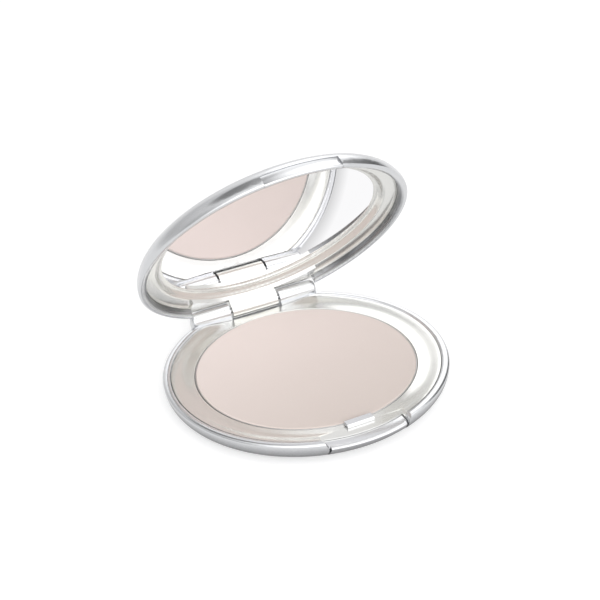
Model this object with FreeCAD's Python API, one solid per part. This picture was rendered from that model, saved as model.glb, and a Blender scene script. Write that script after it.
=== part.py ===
import FreeCAD, Part
import math
import os

V = FreeCAD.Vector
os.makedirs("parts", exist_ok=True)

# ---- driving dimensions (mm) ----
OUT_R = 38.0            # outer radius of the case
Z_PART = 7.5            # height of the parting plane above the table
DOME_H = 9.2            # lid crown above the parting plane
OPEN_DEG = 52.6         # lid angle in the rest pose, from closed
MAX_OPEN_DEG = 120.0    # widest lid angle
RIM_GAP = 0.10          # gap between the two rims when closed
FLOOR_T = 1.4           # base floor
SEAM_R = 35.80          # inside of the base rim
TRAY_R = 35.74          # outside of the inner tray
DECK_Z = Z_PART - 1.2   # flat deck round the powder
WELL_R = 29.62          # tray well
WELL_WALL_R = 30.35
PAN_R = 29.5            # godet, 59 mm across
PAN_T = 0.3
PAN_FLOOR_T = 0.2
CAKE_R = 29.2
CAKE_TOP = Z_PART - 1.08
GLUE_R, GLUE_T = 20.0, 0.15
LABEL_R, LABEL_T = 17.0, 0.12
HINGE_Y = 35.0
HINGE_Z = Z_PART + 0.2
BARREL_R = 2.6
RELIEF_R = 2.9
PIN_R = 0.75
PIN_RUN = 0.05          # radial running clearance in the lid knuckle
LID_KNUCKLE = 7.0       # half width of the lid's middle knuckle
BASE_KNUCKLE_0 = 7.7    # inner end of each base knuckle
BASE_KNUCKLE_1 = 19.3   # outer end of each base knuckle
BLOCK_HALF = 18.9       # half width of the lid's hinge plate
PLATE_Z = 2.1           # hinge plate face above the lid rim plane
PLATE_FRONT_R = 32.3    # front edge of the hinge plate
MIRROR_R = 30.8
BEZEL_R = 30.1          # visible mirror radius
MIRROR_Z = 5.0          # mirror face above the lid rim plane
GLASS_T, BACK_T = 1.1, 0.1
BUTTON_TRAVEL = 0.6
BUTTON_HALF = 10.4
PLATE_HALF = 10.8       # the button's sliding plate
NOTCH_TOP_HALF = 11.9
NOTCH_LOW_HALF = 11.0
LIP_DROP = 1.75         # button lip below the parting plane
TAB_HALF = 3.7
DECK_EDGE_R = 34.45     # where the deck ends above the button
DECK_SKIN = 0.36        # deck thickness over the button
TONGUE_HALF = 10.45
TONGUE_UP = 0.06         # tongue foot above the parting plane
RIM_CROWN_R = 37.15     # inner end of the lid rim's flat crown
LID_WALL_R = 35.65      # straight wall inside the lid


def pt(p):
    return V(p[0], 0, p[1])


def revolve(items):
    """items: list of points; a list inside it is a smooth run through its points."""
    edges, last, first = [], None, None
    for it in items:
        run = it if isinstance(it, list) else [it]
        if first is None:
            first = run[0]
        if last is not None and last != run[0]:
            edges.append(Part.makeLine(pt(last), pt(run[0])))
        if len(run) > 2:
            c = Part.BSplineCurve()
            c.interpolate([pt(p) for p in run])
            edges.append(c.toShape())
        elif len(run) == 2:
            edges.append(Part.makeLine(pt(run[0]), pt(run[1])))
        last = run[-1]
    if last != first:
        edges.append(Part.makeLine(pt(last), pt(first)))
    face = Part.Face(Part.Wire(edges))
    return face.revolve(V(0, 0, 0), V(0, 0, 1), 360)


def box(x0, x1, y0, y1, z0, z1):
    return Part.makeBox(x1 - x0, y1 - y0, z1 - z0, V(x0, y0, z0))


def both(fn):
    return fn(1).fuse(fn(-1))


def rod(r, x0, x1, y=HINGE_Y, z=HINGE_Z):
    return Part.makeCylinder(r, x1 - x0, V(x0, y, z), V(1, 0, 0))


def cyl(r, z0, z1):
    return Part.makeCylinder(r, z1 - z0, V(0, 0, z0), V(0, 0, 1))


def prism_yz(pts, x0, x1):
    w = Part.makePolygon([V(x0, a, b) for a, b in pts] + [V(x0, pts[0][0], pts[0][1])])
    return Part.Face(w).extrude(V(x1 - x0, 0, 0))


def prism_xz(pts, y0, y1):
    w = Part.makePolygon([V(a, y0, b) for a, b in pts] + [V(pts[0][0], y0, pts[0][1])])
    return Part.Face(w).extrude(V(0, y1 - y0, 0))


def soften(shape, r, keep):
    """round the edges that keep() picks; leave the shape as it is if that fails."""
    edges = [e for e in shape.Edges if keep(e)]
    if not edges:
        return shape
    try:
        s = shape.makeFillet(r, edges)
        if s.isValid() and s.Volume > 0:
            return s
    except Exception:
        pass
    return shape


# ================= BASE =================
LOW_RUN = [(28.5, 0.0), (31.0, 0.42), (33.5, 1.40), (35.2, 2.28), (36.3, 3.05), (37.25, 4.2), (37.8, 5.5), (OUT_R, 6.7)]
RIM_RUN = [(OUT_R, 6.7), (37.83, 7.20), (37.30, 7.47), (36.8, Z_PART)]
RIM_IN = [(36.8, Z_PART), (36.3, 7.42), (35.95, 7.15), (SEAM_R, 6.85)]

base_solid = revolve([(0, 0), LOW_RUN, RIM_RUN, (0, Z_PART)])
base_hollow = revolve([(0, FLOOR_T), (29.5, FLOOR_T), (32.6, 2.2), (35.0, 3.8), (SEAM_R, 5.0), (SEAM_R, 6.85), (SEAM_R, 12), (0, 12)])
rim_cut = revolve([RIM_IN, (SEAM_R, 7.6), (36.8, 7.6)])
shell = base_solid.cut(base_hollow).cut(rim_cut)

# hinge block: solid ground under the barrels, kept below the lid
block = box(-BASE_KNUCKLE_1, BASE_KNUCKLE_1, 31.9, 40, 0.8, Z_PART - 0.3).common(base_solid)
boss_limit = revolve([(0, 2.2), (35.6, 2.2), [(35.6, 2.2), (37.5, 3.4), (39.1, 5.0), (40.0, 7.6)], [(40.0, 7.6), (39.9, 9.0), (39.3, 10.4)], (0, 10.4)])


def knuckle(s):
    x0, x1 = sorted((s * BASE_KNUCKLE_0, s * BASE_KNUCKLE_1))
    web = box(x0, x1, HINGE_Y - BARREL_R, HINGE_Y + BARREL_R, 2.2, HINGE_Z)
    solid = rod(BARREL_R, x0, x1).fuse(web).removeSplitter()
    solid = soften(solid, 1.1, lambda e: abs(e.BoundBox.XMax - e.BoundBox.XMin) < 1e-6 and abs(abs(e.BoundBox.XMax) - BASE_KNUCKLE_1) < 1e-6 and e.BoundBox.ZMax > 5)
    return solid.common(boss_limit)


shell = shell.fuse(block).cut(box(-BASE_KNUCKLE_0, BASE_KNUCKLE_0, HINGE_Y, 42, HINGE_Z - RELIEF_R, 14))
shell = shell.cut(rod(RELIEF_R, -BASE_KNUCKLE_0, BASE_KNUCKLE_0))
shell = shell.cut(box(-BASE_KNUCKLE_0, BASE_KNUCKLE_0, 31, HINGE_Y, HINGE_Z - RELIEF_R, 14))
shell = shell.cut(box(-21.0, 21.0, 31.5, 42, Z_PART - 0.3, 14))
shell = shell.fuse(knuckle(1)).fuse(knuckle(-1))
# pin hole: through on the right, blind on the left
shell = shell.cut(rod(PIN_R + 0.01, -17.3, 25))

# front notch with sloped ends, and the opening for the button below it
notch = prism_xz(
    [(-NOTCH_TOP_HALF, Z_PART + 1), (-NOTCH_TOP_HALF, Z_PART - 0.1), (-NOTCH_LOW_HALF, Z_PART - 2.0), (-NOTCH_LOW_HALF, 2.6),
     (NOTCH_LOW_HALF, 2.6), (NOTCH_LOW_HALF, Z_PART - 2.0), (NOTCH_TOP_HALF, Z_PART - 0.1), (NOTCH_TOP_HALF, Z_PART + 1)],
    -42, -32.8)
shell = shell.cut(notch)
# shallow seat for the label
shell = shell.cut(cyl(LABEL_R + 0.1, -1, LABEL_T))

# inner tray: rolled edge, sloped wall, deck and powder well
TRAY_RUN = [(TRAY_R, 7.14), (35.2, 7.08), (34.3, 6.84), (33.2, 6.53), (32.2, 6.36), (31.2, DECK_Z + 0.005), (30.4, DECK_Z)]
tray = revolve([(0, FLOOR_T), (29.0, FLOOR_T), (WELL_WALL_R, 2.1), (WELL_WALL_R, 5.0), (TRAY_R, 5.15), TRAY_RUN,
                (WELL_R + 0.12, DECK_Z), (WELL_R, DECK_Z - 0.12), (WELL_R, FLOOR_T + 0.8), (0, FLOOR_T + 0.8)])
tray = tray.cut(box(-BASE_KNUCKLE_1 - 0.1, BASE_KNUCKLE_1 + 0.1, 31.8, 40, 0, 14))
ends = prism_xz(
    [(-NOTCH_TOP_HALF, Z_PART + 1), (-NOTCH_TOP_HALF, Z_PART - 0.1), (-NOTCH_LOW_HALF, Z_PART - 2.0), (-NOTCH_LOW_HALF, 0),
     (NOTCH_LOW_HALF, 0), (NOTCH_LOW_HALF, Z_PART - 2.0), (NOTCH_TOP_HALF, Z_PART - 0.1), (NOTCH_TOP_HALF, Z_PART + 1)],
    -42, -30)
# the deck is cut back to a thin edge that overhangs the button's plate
tray = tray.cut(prism_yz([(-31.0, Z_PART + 1), (-31.0, DECK_Z), (-DECK_EDGE_R, DECK_Z - 0.10), (-42, DECK_Z - 0.3), (-42, Z_PART + 1)], -20, 20).common(ends))
tray = tray.cut(box(-NOTCH_LOW_HALF, NOTCH_LOW_HALF, -42, -31, 0, 14).cut(cyl(DECK_EDGE_R, 0, 14)))
tray = tray.cut(box(-NOTCH_LOW_HALF, NOTCH_LOW_HALF, -42, -30.2, 2.0, DECK_Z - DECK_SKIN).cut(cyl(WELL_WALL_R, 0, 14)))
tray = tray.cut(box(-TAB_HALF - 0.08, TAB_HALF + 0.08, -31.84, -WELL_WALL_R + 0.05, 3.0, 14).cut(cyl(WELL_WALL_R - 0.01, 0, 14)))

# powder pan, cake, adhesive
PAN_Z = FLOOR_T + 0.8 + GLUE_T
pan = cyl(PAN_R, PAN_Z, DECK_Z).cut(cyl(PAN_R - PAN_T, PAN_Z + PAN_FLOOR_T, DECK_Z + 1))
pan = soften(pan, 0.12, lambda e: abs(e.BoundBox.ZMax - DECK_Z) < 1e-6 and abs(e.BoundBox.ZMin - DECK_Z) < 1e-6)
CAKE_RUN = [(CAKE_R, CAKE_TOP - 0.30), (CAKE_R - 0.10, CAKE_TOP - 0.08), (CAKE_R - 0.45, CAKE_TOP)]
cake = revolve([(0, PAN_Z + PAN_FLOOR_T), (CAKE_R, PAN_Z + PAN_FLOOR_T), CAKE_RUN, (0, CAKE_TOP + 0.02)])
glue = cyl(GLUE_R, FLOOR_T + 0.8, PAN_Z)
label = cyl(LABEL_R, 0, LABEL_T)

# hinge pin with softened ends
pin = rod(PIN_R, -17.2, BASE_KNUCKLE_1 - 0.5)
pin = soften(pin, 0.2, lambda e: e.BoundBox.XMax - e.BoundBox.XMin < 1e-6)

# ================= BUTTON =================
LIP_Z = Z_PART - LIP_DROP
PLATE_TOP = DECK_Z - DECK_SKIN - 0.07
face_band = revolve([(30.0, 2.75), [(35.82, 2.75), (36.25, 3.10), (37.2, 4.25), (37.70, 5.15)],
                     [(37.70, 5.15), (37.66, 5.48), (37.40, LIP_Z - 0.08), (36.95, LIP_Z)],
                     [(36.95, LIP_Z), (36.3, LIP_Z - 0.05), (35.4, LIP_Z - 0.01), (34.5, LIP_Z + 0.09), (33.7, PLATE_TOP)],
                     (30.0, PLATE_TOP)])
bar = face_band.common(box(-BUTTON_HALF, BUTTON_HALF, -42, -34.55, 0, 14))
plate = face_band.common(box(-PLATE_HALF, PLATE_HALF, -35.2, -31.05, 5.05, 14)).cut(cyl(31.05, 0, 14))
column = prism_yz([(-31.78, 5.2), (-31.08, 5.2), (-31.08, 6.5), (-29.40, 6.5), (-29.40, 6.95), (-29.62, Z_PART - 0.25), (-31.52, Z_PART - 0.25), (-31.78, 7.0)], -TAB_HALF, TAB_HALF)
button = bar.fuse(plate).fuse(column).removeSplitter()

# return springs, one at each end of the bar
SPRING_X, SPRING_Z, SPRING_R, WIRE_R = 7.2, 3.75, 0.85, 0.14
SPRING_Y0, SPRING_LEN, TURNS = -34.50, 4.68, 5.5


def spring(s):
    pitch = (SPRING_LEN - 2 * WIRE_R) / TURNS
    helix = Part.makeHelix(pitch, SPRING_LEN - 2 * WIRE_R, SPRING_R)
    start = V(SPRING_R, 0, 0)
    ring = Part.Wire(Part.makeCircle(WIRE_R, start, V(0, 1, pitch / (2 * math.pi * SPRING_R))))
    coil = Part.Wire(helix).makePipeShell([ring], True, True)
    coil.rotate(V(0, 0, 0), V(1, 0, 0), -90)
    coil.translate(V(s * SPRING_X, SPRING_Y0 + WIRE_R + 0.02, SPRING_Z))
    return coil


spring_left, spring_right = spring(-1), spring(1)

# ================= LID (drawn closed, then swung open) =================
L = Z_PART
LR = L + RIM_GAP
DOME_RUN = [(OUT_R, L + 0.95), (37.62, L + 2.7), (36.75, L + 4.25), (35.4, L + 5.5), (33.5, L + 6.45), (30.5, L + 7.32),
            (26.0, L + 8.08), (20.0, L + 8.66), (10.0, L + 9.08), (0, L + DOME_H)]
LIP_RUN = [(RIM_CROWN_R, LR), (36.75, LR + 0.13), (36.15, LR + 0.48), (35.78, LR + 0.74), (LID_WALL_R, LR + 1.0)]
LIP_OUT = [(37.45, LR), (37.84, LR + 0.22), (OUT_R, L + 0.95)]
lid_out = revolve([(0, LR), (37.45, LR), LIP_OUT, DOME_RUN])
lid_in_pts = [(LID_WALL_R, LR + 1.0), (LID_WALL_R, L + 2.9), (34.85, L + 4.3), (33.0, L + 5.45), (31.2, L + 6.35),
              (26.5, L + 6.35), (26.5, L + 6.85), (20.0, L + 7.42), (0, L + 7.95)]
lid_hollow = revolve([(0, L - 5), (RIM_CROWN_R, L - 5), LIP_RUN] + lid_in_pts)
lid_shell = lid_out.cut(lid_hollow)

# bezel ring: fillet at the wall, ledge, step down to the mirror
frame_ring = revolve([
    (35.55, L + 2.05), [(35.44, L + 2.05), (35.36, L + 2.48), (35.05, L + 2.80)], (33.0, L + 3.05),
    [(33.0, L + 3.05), (32.4, L + 3.20), (32.0, L + 3.56)], [(32.0, L + 3.56), (31.5, L + 4.2), (30.9, L + 4.62), (30.25, L + 4.78)],
    (BEZEL_R, L + 4.86), (BEZEL_R, L + MIRROR_Z), (MIRROR_R + 0.1, L + MIRROR_Z), (MIRROR_R + 0.1, L + 6.3), (31.15, L + 6.3),
    (32.9, L + 5.35), (34.7, L + 4.2), (35.55, L + 2.85)])

inner_fill = revolve([(0, LR), (37.45, LR), (37.7, LR + 0.1), (37.9, L + 0.9), (37.6, L + 2.4), (35.55, L + 2.85), (34.7, L + 4.2), (32.9, L + 5.35), (31.15, L + 6.3), (0, L + 6.3)])
hinge_block = box(-BLOCK_HALF, BLOCK_HALF, 24, 41, L + PLATE_Z, L + 6.3).common(inner_fill).cut(cyl(PLATE_FRONT_R, L - 1, L + 8))
# slope behind the hinge that lets the lid swing to its widest angle
a = math.radians(MAX_OPEN_DEG + 2.0)
far = 30.0
behind = prism_yz([(HINGE_Y, HINGE_Z), (HINGE_Y + far * math.cos(a), HINGE_Z + far * math.sin(a)), (HINGE_Y + 30, HINGE_Z + 30), (HINGE_Y + 30, HINGE_Z - 12), (HINGE_Y, HINGE_Z - 12)], -21.0, 21.0)
relief = both(lambda s: rod(RELIEF_R, *sorted((s * LID_KNUCKLE, s * 21.5))))
frame = frame_ring.fuse(hinge_block)
frame = frame.fuse(box(-LID_KNUCKLE, LID_KNUCKLE, HINGE_Y - BARREL_R, HINGE_Y, HINGE_Z, L + 3.2))
frame = frame.cut(behind).cut(relief)
frame = frame.fuse(rod(BARREL_R, -LID_KNUCKLE, LID_KNUCKLE))
frame = frame.cut(rod(PIN_R + PIN_RUN, -20, 20)).removeSplitter()
lid_shell = lid_shell.cut(box(-BLOCK_HALF - 0.1, BLOCK_HALF + 0.1, 24, 41, L - 1, L + 2.95)).cut(behind)
lid_shell = lid_shell.cut(rod(RELIEF_R, -21.5, 21.5))

# tongue let into the front of the lid rim: a thumb scoop that leans back
tongue_opening = box(-TONGUE_HALF - 0.05, TONGUE_HALF + 0.05, -42, -30, L - 2, L + 3.45).cut(cyl(35.3, L - 3, L + 9))
lid_shell = lid_shell.cut(tongue_opening)
tongue = revolve([(36.95, L + TONGUE_UP), (37.42, L + TONGUE_UP), [(37.42, L + TONGUE_UP), (37.80, L + 0.34), (37.80, L + 0.85)],
                  [(37.80, L + 0.85), (37.40, L + 1.75), (37.08, L + 2.6), (36.98, L + 3.4)], (35.9, L + 3.4), (35.9, L + 1.0), (36.3, L + 0.52)])
tongue = tongue.common(box(-TONGUE_HALF, TONGUE_HALF, -42, -30, L - 2, L + 4))
tongue = soften(tongue, 0.4, lambda e: abs(abs(e.BoundBox.XMax) - TONGUE_HALF) < 1e-6 and e.BoundBox.XMax - e.BoundBox.XMin < 1e-6 and e.BoundBox.YMax - e.BoundBox.YMin > 0.4 and e.BoundBox.ZMax < L + TONGUE_UP + 0.01)

glass = cyl(MIRROR_R, L + MIRROR_Z, L + MIRROR_Z + GLASS_T)
glass = soften(glass, 0.25, lambda e: abs(e.BoundBox.ZMax - L - MIRROR_Z) < 1e-6)
backing = cyl(MIRROR_R - 0.2, L + MIRROR_Z + GLASS_T, L + MIRROR_Z + GLASS_T + BACK_T)
mirror_glue = cyl(30.0, L + 6.2, L + 6.35).cut(cyl(27.0, L + 6, L + 7))

nodes = {
    "base_shell": shell,
    "base_tray": tray,
    "powder_pan": pan,
    "powder_cake": cake,
    "pan_adhesive": glue,
    "base_label": label,
    "hinge_pin": pin,
    "button_spring_left": spring_left,
    "button_spring_right": spring_right,
    "latch_button": button,
}
lid_nodes = {
    "lid_shell": lid_shell,
    "lid_frame": frame,
    "lid_tongue": tongue,
    "mirror_glass": glass,
    "mirror_backing": backing,
    "mirror_adhesive": mirror_glue,
}
for name, shape in lid_nodes.items():
    s = shape.copy()
    s.rotate(V(0, HINGE_Y, HINGE_Z), V(1, 0, 0), -OPEN_DEG)
    nodes[name] = s

for name, shape in nodes.items():
    solids = shape.Solids
    big = [s for s in solids if s.Volume > 0.05]
    if len(big) == 1:
        out = big[0]
    else:
        out = Part.makeCompound(big)
    print(name, "solids", len(solids), "kept", len(big), "valid", out.isValid(), "volume %.1f" % out.Volume,
          "box %.2f %.2f %.2f  %.2f %.2f %.2f" % (out.BoundBox.XMin, out.BoundBox.YMin, out.BoundBox.ZMin, out.BoundBox.XMax, out.BoundBox.YMax, out.BoundBox.ZMax))
    out.exportStep("parts/%s.step" % name)
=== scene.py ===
import math

import bpy
from mathutils import Matrix, Vector


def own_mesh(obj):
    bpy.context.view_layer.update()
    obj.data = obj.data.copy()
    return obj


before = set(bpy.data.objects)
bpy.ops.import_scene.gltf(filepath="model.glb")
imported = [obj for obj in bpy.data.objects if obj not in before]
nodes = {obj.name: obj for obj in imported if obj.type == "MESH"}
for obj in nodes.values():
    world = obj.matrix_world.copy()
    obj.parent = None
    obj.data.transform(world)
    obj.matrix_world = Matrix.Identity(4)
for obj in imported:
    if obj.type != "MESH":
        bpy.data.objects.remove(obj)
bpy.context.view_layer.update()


MM = 0.001
HINGE = Vector((0, 0.035, 0.0077))
OPEN = math.radians(52.6)


# ---------------------------------------------------------------- node helpers
class Mat:
    """A small builder for node materials."""

    def __init__(self, name):
        self.m = bpy.data.materials.new(name)
        self.m.use_nodes = True
        self.t = self.m.node_tree
        self.t.nodes.clear()
        self.out = self.t.nodes.new("ShaderNodeOutputMaterial")
        self.b = self.t.nodes.new("ShaderNodeBsdfPrincipled")
        self.t.links.new(self.b.outputs[0], self.out.inputs[0])
        self.co = self.t.nodes.new("ShaderNodeTexCoord")

    def add(self, kind, **props):
        n = self.t.nodes.new(kind)
        for k, v in props.items():
            setattr(n, k, v)
        return n

    def link(self, a, b):
        self.t.links.new(a, b)

    def set(self, **kw):
        for k, v in kw.items():
            self.b.inputs[k.replace("_", " ")].default_value = v

    def noise(self, scale, detail=4.0, rough=0.55, coord=None, w=None):
        n = self.add("ShaderNodeTexNoise")
        n.inputs["Scale"].default_value = scale
        n.inputs["Detail"].default_value = detail
        n.inputs["Roughness"].default_value = rough
        self.link(coord or self.co.outputs["Object"], n.inputs["Vector"])
        return n.outputs["Fac"]

    def ramp(self, fac, stops):
        r = self.add("ShaderNodeValToRGB")
        e = r.color_ramp.elements
        while len(e) < len(stops):
            e.new(0.5)
        for i, (p, c) in enumerate(stops):
            e[i].position = p
            e[i].color = (*c, 1.0) if len(c) == 3 else c
        self.link(fac, r.inputs["Fac"])
        return r.outputs["Color"]

    def map(self, v, a, b, c, d):
        n = self.add("ShaderNodeMapRange")
        for i, x in enumerate((a, b, c, d)):
            n.inputs[i + 1].default_value = x
        self.link(v, n.inputs[0])
        return n.outputs[0]

    def math(self, op, a, b):
        n = self.add("ShaderNodeMath", operation=op)
        for i, x in enumerate((a, b)):
            if isinstance(x, (int, float)):
                n.inputs[i].default_value = x
            else:
                self.link(x, n.inputs[i])
        return n.outputs[0]

    def mix(self, fac, a, b, mode="MIX"):
        n = self.add("ShaderNodeMix", data_type="RGBA", blend_type=mode)
        if isinstance(fac, (int, float)):
            n.inputs[0].default_value = fac
        else:
            self.link(fac, n.inputs[0])
        for i, x in ((6, a), (7, b)):
            if isinstance(x, tuple):
                n.inputs[i].default_value = (*x, 1.0)
            else:
                self.link(x, n.inputs[i])
        return n.outputs[2]

    def bump(self, height, strength, distance, normal=None):
        n = self.add("ShaderNodeBump")
        n.inputs["Strength"].default_value = strength
        n.inputs["Distance"].default_value = distance
        self.link(height, n.inputs["Height"])
        if normal is not None:
            self.link(normal, n.inputs["Normal"])
        return n.outputs["Normal"]

    def normal(self, n):
        self.link(n, self.b.inputs["Normal"])


def silver(name, tint, rough, metal=0.96, fine=0.35, worn=0.05, corner=False):
    """Metallised plastic: bright, smooth, with a very fine mould grain, handling haze and sparse fine wear.

    corner adds a painted shade line inside the lid wall, where the frame sits in it: a near-black ring, stronger
    towards the sides, painted in place of the shade and dark reflections in that recess."""
    m = Mat(name)
    haze = m.noise(38.0, 5.0)
    cloud = m.noise(9.0, 2.0)
    grain = m.noise(5200.0, 2.0)
    hair = m.add("ShaderNodeMapping")
    hair.inputs["Scale"].default_value = (260.0, 2400.0, 1500.0)
    hair.inputs["Rotation"].default_value = (0.2, 0.1, 0.7)
    m.link(m.co.outputs["Object"], hair.inputs["Vector"])
    lines = m.noise(1.0, 2.0, coord=hair.outputs["Vector"])
    lines = m.map(lines, 0.70, 0.78, 0.0, 1.0)
    base = m.ramp(cloud, [(0.25, tuple(t * 0.97 for t in tint)), (0.75, tint)])
    base = m.mix(m.map(haze, 0.35, 0.7, 0.0, 0.10), base, tuple(t * 0.93 for t in tint))
    if corner:
        shut = Matrix.Rotation(OPEN, 3, "X")
        flat = m.add("ShaderNodeMapping")
        flat.inputs["Rotation"].default_value = (OPEN, 0.0, 0.0)
        flat.inputs["Location"].default_value = HINGE - shut @ HINGE
        m.link(m.co.outputs["Object"], flat.inputs["Vector"])
        sep = m.add("ShaderNodeSeparateXYZ")
        m.link(flat.outputs["Vector"], sep.inputs[0])
        x, y, z = sep.outputs["X"], sep.outputs["Y"], sep.outputs["Z"]
        far = m.math("SQRT", m.math("ADD", m.math("MULTIPLY", x, x), m.math("MULTIPLY", y, y)), 0.0)
        ring = m.math("MULTIPLY", m.map(far, 0.0350, 0.0354, 0.0, 1.0), m.map(far, 0.0361, 0.0368, 1.0, 0.0))
        deep = m.math("MULTIPLY", m.map(z, 0.00775, 0.0081, 0.0, 1.0), m.map(z, 0.0102, 0.0106, 1.0, 0.0))
        lean = m.math("DIVIDE", m.math("ADD", m.math("ABSOLUTE", x, 0.0), m.math("MULTIPLY", y, 0.15)), far)
        # painted shade: a near-black ring on the lid wall between rim and frame, stronger towards the sides, standing
        # in for shade and dark reflections there
        dust_and_painted_shade = m.math("MULTIPLY", m.math("MULTIPLY", ring, deep), m.map(lean, 0.50, 0.86, 0.16, 0.84))
        dust_and_painted_shade = m.math("MULTIPLY", dust_and_painted_shade, m.map(haze, 0.3, 0.7, 0.85, 1.0))
        base = m.mix(dust_and_painted_shade, base, (0.10, 0.104, 0.108))
    m.link(base, m.b.inputs["Base Color"])
    r = m.map(haze, 0.3, 0.7, rough * 0.85, rough * 1.2)
    r = m.math("ADD", r, m.math("MULTIPLY", lines, worn))
    m.link(r, m.b.inputs["Roughness"])
    m.set(Metallic=metal)
    m.b.inputs["Coat Weight"].default_value = 0.12
    m.b.inputs["Coat Roughness"].default_value = rough * 0.6
    m.b.inputs["Coat IOR"].default_value = 1.42
    n = m.bump(grain, fine, 0.000003)
    n = m.bump(cloud, 0.15, 0.00003, n)
    m.normal(n)
    return m.m


def powder():
    """Pressed powder: dry and matte, fine grain, faint press marks and tone drift."""
    m = Mat("powder_mat")
    grain = m.noise(4200.0, 5.0, 0.7)
    mid = m.noise(520.0, 4.0)
    drift = m.noise(26.0, 2.0)
    sep = m.add("ShaderNodeSeparateXYZ")
    m.link(m.co.outputs["Object"], sep.inputs[0])
    # painted light: the cake is painted lighter towards its back left and darker towards its front right, as the
    # light falls on it
    side = m.math("ADD", m.math("MULTIPLY", sep.outputs["X"], 5.0), m.math("MULTIPLY", sep.outputs["Y"], -15.0))
    side = m.map(side, -0.48, 0.50, 0.0, 1.0)
    base = m.mix(side, (0.850, 0.742, 0.704), (0.640, 0.556, 0.512))
    base = m.mix(m.map(drift, 0.35, 0.65, 0.0, 0.22), base, (0.730, 0.646, 0.604))
    speck = m.map(grain, 0.38, 0.62, 0.0, 1.0)
    base = m.mix(m.math("MULTIPLY", speck, 0.10), base, (0.86, 0.78, 0.73))
    fleck = m.map(m.noise(2600.0, 2.0), 0.70, 0.74, 0.0, 0.5)
    base = m.mix(fleck, base, (0.88, 0.82, 0.78))
    m.link(base, m.b.inputs["Base Color"])
    m.link(m.map(grain, 0.3, 0.7, 0.72, 0.92), m.b.inputs["Roughness"])
    m.b.inputs["Sheen Weight"].default_value = 0.18
    m.b.inputs["Sheen Roughness"].default_value = 0.5
    m.b.inputs["Specular IOR Level"].default_value = 0.25
    m.b.inputs["Subsurface Weight"].default_value = 0.0
    n = m.bump(grain, 0.35, 0.00002)
    n = m.bump(mid, 0.12, 0.00006, n)
    m.normal(n)
    return m.m


def mirror():
    m = Mat("mirror_mat")
    dust_and_painted_shade = m.map(m.noise(900.0, 3.0), 0.66, 0.74, 0.0, 1.0)
    smear = m.noise(30.0, 3.0)
    base = m.ramp(smear, [(0.3, (0.980, 0.976, 0.988)), (0.7, (0.995, 0.990, 1.0))])
    m.link(base, m.b.inputs["Base Color"])
    r = m.math("ADD", m.map(smear, 0.35, 0.7, 0.0, 0.012), m.math("MULTIPLY", dust_and_painted_shade, 0.01))
    m.link(r, m.b.inputs["Roughness"])
    m.set(Metallic=1.0)
    return m.m


def plain_metal(name, tint, rough, brushed=(1.0, 1.0, 1.0)):
    m = Mat(name)
    mp = m.add("ShaderNodeMapping")
    mp.inputs["Scale"].default_value = brushed
    m.link(m.co.outputs["Object"], mp.inputs["Vector"])
    g = m.noise(900.0, 4.0, coord=mp.outputs["Vector"])
    m.link(m.ramp(g, [(0.3, tuple(t * 0.88 for t in tint)), (0.7, tint)]), m.b.inputs["Base Color"])
    m.link(m.map(g, 0.3, 0.7, rough * 0.8, rough * 1.3), m.b.inputs["Roughness"])
    m.set(Metallic=1.0)
    m.normal(m.bump(g, 0.2, 0.00001))
    return m.m


def soft(name, tint, rough, grain_scale=1800.0, spread=0.06):
    m = Mat(name)
    g = m.noise(grain_scale, 5.0, 0.65)
    big = m.noise(60.0, 3.0)
    c = m.ramp(g, [(0.3, tuple(t * (1 - spread) for t in tint)), (0.7, tint)])
    c = m.mix(m.map(big, 0.3, 0.7, 0.0, 0.12), c, tuple(t * 0.93 for t in tint))
    m.link(c, m.b.inputs["Base Color"])
    m.link(m.map(g, 0.3, 0.7, rough * 0.9, min(1.0, rough * 1.1)), m.b.inputs["Roughness"])
    m.normal(m.bump(g, 0.25, 0.00002))
    return m.m


case_mat = silver("silver_case_mat", (0.675, 0.682, 0.698), 0.17, metal=0.93)
insert_mat = silver("silver_insert_mat", (0.757, 0.755, 0.732), 0.19, metal=0.88)
button_mat = silver("silver_button_mat", (0.700, 0.706, 0.722), 0.20, metal=0.92)
lid_mat = silver("silver_lid_mat", (0.675, 0.682, 0.698), 0.17, metal=0.93, corner=True)
looks = {
    "base_shell": case_mat,
    "lid_shell": lid_mat,
    "base_tray": insert_mat,
    "lid_frame": insert_mat,
    "latch_button": button_mat,
    "lid_tongue": button_mat,
    "powder_cake": powder(),
    "mirror_glass": mirror(),
    "powder_pan": plain_metal("pan_mat", (0.62, 0.61, 0.60), 0.35),
    "hinge_pin": plain_metal("pin_mat", (0.56, 0.565, 0.58), 0.28, (0.2, 3.0, 3.0)),
    "button_spring_left": plain_metal("spring_mat", (0.50, 0.50, 0.52), 0.32),
    "pan_adhesive": soft("adhesive_mat", (0.80, 0.78, 0.70), 0.6, 700.0, 0.10),
    "mirror_adhesive": soft("mirror_adhesive_mat", (0.82, 0.80, 0.73), 0.6, 700.0, 0.10),
    "base_label": soft("label_mat", (0.88, 0.88, 0.865), 0.75, 2600.0, 0.05),
    "mirror_backing": soft("backing_mat", (0.33, 0.35, 0.38), 0.55, 1200.0, 0.10),
}
looks["button_spring_right"] = looks["button_spring_left"]

for name, o in nodes.items():
    o.data.materials.clear()
    o.data.materials.append(looks[name])
    for p in o.data.polygons:
        p.use_smooth = True
    if name in ("base_shell", "base_tray", "lid_shell", "lid_frame", "lid_tongue", "latch_button"):
        w = o.modifiers.new("weld", "WELD")
        w.merge_threshold = 1e-7
        b = o.modifiers.new("edges", "BEVEL")
        b.width = {"lid_tongue": 0.12, "latch_button": 0.12}.get(name, 0.14) * MM
        b.segments = 3
        b.limit_method = "ANGLE"
        b.angle_limit = math.radians(32)
        b.harden_normals = False
        b.use_clamp_overlap = True
    n = o.modifiers.new("normals", "WEIGHTED_NORMAL")
    n.keep_sharp = True

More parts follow.
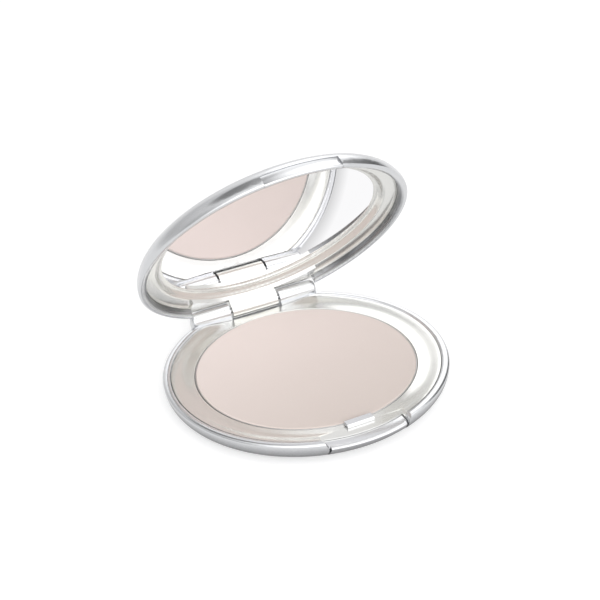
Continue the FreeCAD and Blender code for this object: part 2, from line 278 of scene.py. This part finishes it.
# ---------------------------------------------------------------- floor
def floor():
    mesh = bpy.data.meshes.new("floor")
    s = 3.0
    mesh.from_pydata([(-s, -s, -0.00002), (s, -s, -0.00002), (s, s, -0.00002), (-s, s, -0.00002)], [], [(0, 1, 2, 3)])
    o = bpy.data.objects.new("floor", mesh)
    bpy.context.scene.collection.objects.link(o)
    m = Mat("floor_mat")
    m.link(m.ramp(m.noise(3.0), [(0.3, (0.93, 0.93, 0.93)), (0.7, (0.95, 0.95, 0.95))]), m.b.inputs["Base Color"])
    m.set(Roughness=0.9)
    m.b.inputs["Specular IOR Level"].default_value = 0.05
    m.b.inputs["Emission Color"].default_value = (1, 1, 1, 1)
    m.b.inputs["Emission Strength"].default_value = 0.27
    # painted shadow: in reflections the floor's glow is painted dimmer towards the case, in place of a small soft
    # shadow
    sep = m.add("ShaderNodeSeparateXYZ")
    m.link(m.co.outputs["Object"], sep.inputs[0])
    far = m.math("SQRT", m.math("ADD", m.math("POWER", sep.outputs["X"], 2.0), m.math("POWER", sep.outputs["Y"], 2.0)), 0.0)
    dim = m.add("ShaderNodeEmission")
    m.link(m.map(far, 0.0360, 0.0455, 0.32, 0.97), dim.inputs["Strength"])
    path = m.add("ShaderNodeLightPath")
    pick = m.add("ShaderNodeMixShader")
    m.link(path.outputs["Is Glossy Ray"], pick.inputs[0])
    m.link(m.b.outputs[0], pick.inputs[1])
    m.link(dim.outputs[0], pick.inputs[2])
    m.link(pick.outputs[0], m.out.inputs[0])
    mesh.materials.append(m.m)
    return o


floor()

# ---------------------------------------------------------------- light
world = bpy.data.worlds.new("studio")
bpy.context.scene.world = world
world.use_nodes = True
wt = world.node_tree
wt.nodes.clear()
wo = wt.nodes.new("ShaderNodeOutputWorld")
bg = wt.nodes.new("ShaderNodeBackground")
tc = wt.nodes.new("ShaderNodeTexCoord")


def wnode(kind, **props):
    n = wt.nodes.new(kind)
    for k, v in props.items():
        setattr(n, k, v)
    return n


def wdot(x, y, z):
    """how far a direction leans towards (x, y, z), from -1 to 1."""
    n = wnode("ShaderNodeVectorMath", operation="DOT_PRODUCT")
    v = Vector((x, y, z)).normalized()
    wt.links.new(tc.outputs["Generated"], n.inputs[0])
    n.inputs[1].default_value = v
    return n.outputs["Value"]


def wrange(v, a, b, c, d):
    n = wnode("ShaderNodeMapRange", interpolation_type="SMOOTHSTEP")
    wt.links.new(v, n.inputs[0])
    for i, x in enumerate((a, b, c, d)):
        n.inputs[i + 1].default_value = x
    return n.outputs[0]


def wadd(a, b):
    n = wnode("ShaderNodeMath", operation="ADD")
    wt.links.new(a, n.inputs[0])
    if isinstance(b, float):
        n.inputs[1].default_value = b
    else:
        wt.links.new(b, n.inputs[1])
    return n.outputs[0]


def wmul(a, b):
    n = wnode("ShaderNodeMath", operation="MULTIPLY")
    wt.links.new(a, n.inputs[0])
    if isinstance(b, float):
        n.inputs[1].default_value = b
    else:
        wt.links.new(b, n.inputs[1])
    return n.outputs[0]


def lobe(x, y, z, inner, outer):
    """1 inside a cone round a direction, easing to 0; the angles are in degrees."""
    return wrange(wdot(x, y, z), math.cos(math.radians(outer)), math.cos(math.radians(inner)), 0.0, 1.0)


# what the bright case mirrors: a big box in front, one behind on the right,
# a softer left side and darker openings between them
shine = wrange(wdot(0, 0, 1), -0.05, 0.95, 0.86, 1.22)
shine = wadd(shine, wmul(lobe(-0.12, -0.93, 0.35, 42, 62), 0.75))
shine = wadd(shine, wmul(lobe(0.30, -0.60, 0.74, 20, 45), 0.45))
shine = wadd(shine, wmul(lobe(0.50, 0.66, 0.56, 15, 28), 0.62))
shine = wadd(shine, wmul(lobe(-0.55, 0.55, 0.63, 20, 44), -0.38))
shine = wadd(shine, wmul(lobe(-0.90, -0.25, 0.35, 14, 40), -0.40))
shine = wadd(shine, wmul(lobe(0.908, 0.243, 0.342, 17, 27), -0.86))
shine = wadd(shine, wmul(lobe(-0.215, 0.410, 0.886, 15, 25), -0.62))
shine = wadd(shine, wmul(lobe(0.10, -0.35, 0.93, 8, 18), -0.45))
# what lights the floor and the powder
fill = wrange(wdot(0, 0, 1), -0.1, 0.3, 0.35, 0.58)
fill = wadd(fill, wmul(lobe(-0.15, -0.86, 0.50, 20, 65), 0.55))
lp = wt.nodes.new("ShaderNodeLightPath")
pick = wt.nodes.new("ShaderNodeMix")
pick.data_type = "RGBA"
wt.links.new(lp.outputs["Is Diffuse Ray"], pick.inputs[0])
wt.links.new(shine, pick.inputs[6])
wt.links.new(fill, pick.inputs[7])
mx = wt.nodes.new("ShaderNodeMix")
mx.data_type = "RGBA"
wt.links.new(lp.outputs["Is Camera Ray"], mx.inputs[0])
wt.links.new(pick.outputs[2], mx.inputs[6])
mx.inputs[7].default_value = (1, 1, 1, 1)
wt.links.new(mx.outputs[2], bg.inputs["Color"])
bg.inputs["Strength"].default_value = 1.0
wt.links.new(bg.outputs[0], wo.inputs[0])


def area(name, where, at, size, power, shape="RECTANGLE", size_y=None, color=(1, 1, 1)):
    d = bpy.data.lights.new(name, "AREA")
    d.shape = shape
    d.size = size
    if size_y:
        d.size_y = size_y
    d.energy = power
    d.color = color
    o = bpy.data.objects.new(name, d)
    o.location = where
    o.rotation_mode = "QUATERNION"
    o.rotation_quaternion = (Vector(at) - Vector(where)).to_track_quat("-Z", "Y")
    bpy.context.scene.collection.objects.link(o)
    return o


soft_box = area("front_box", (-0.18, -0.75, 0.42), (0, 0, 0.02), 0.55, 3.4, size_y=0.35)
side_box = area("side_box", (-0.75, 0.0, 0.38), (0, 0, 0.02), 0.30, 0.6, size_y=0.25)
for o in (soft_box, side_box):
    o.visible_glossy = False


# ---------------------------------------------------------------- camera
cam = bpy.data.cameras.new("camera")
cam.sensor_width = 36.0
cam.lens = 79.00758
cam.clip_start, cam.clip_end = 0.01, 20.0
co = bpy.data.objects.new("camera", cam)
right = Vector((0.9011096810, -0.4281010910, -0.0687808013))
up = Vector((0.2666401595, 0.4220378415, 0.8664797088))
back = Vector((-0.3419128077, -0.7991329778, 0.4944513279))
m = Matrix((right, up, back)).transposed().to_4x4()
m.translation = Vector((-0.116351658, -0.271537176, 0.194257512))
co.matrix_world = m
bpy.context.scene.collection.objects.link(co)
bpy.context.scene.camera = co
bpy.context.scene.view_settings.view_transform = "Standard"
bpy.context.scene.view_settings.look = "None"

# ---------------------------------------------------------------- springs
# each spring gets a mesh of its own
for name, x in (("button_spring_left", -0.0072), ("button_spring_right", 0.0072)):
    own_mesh(nodes[name])
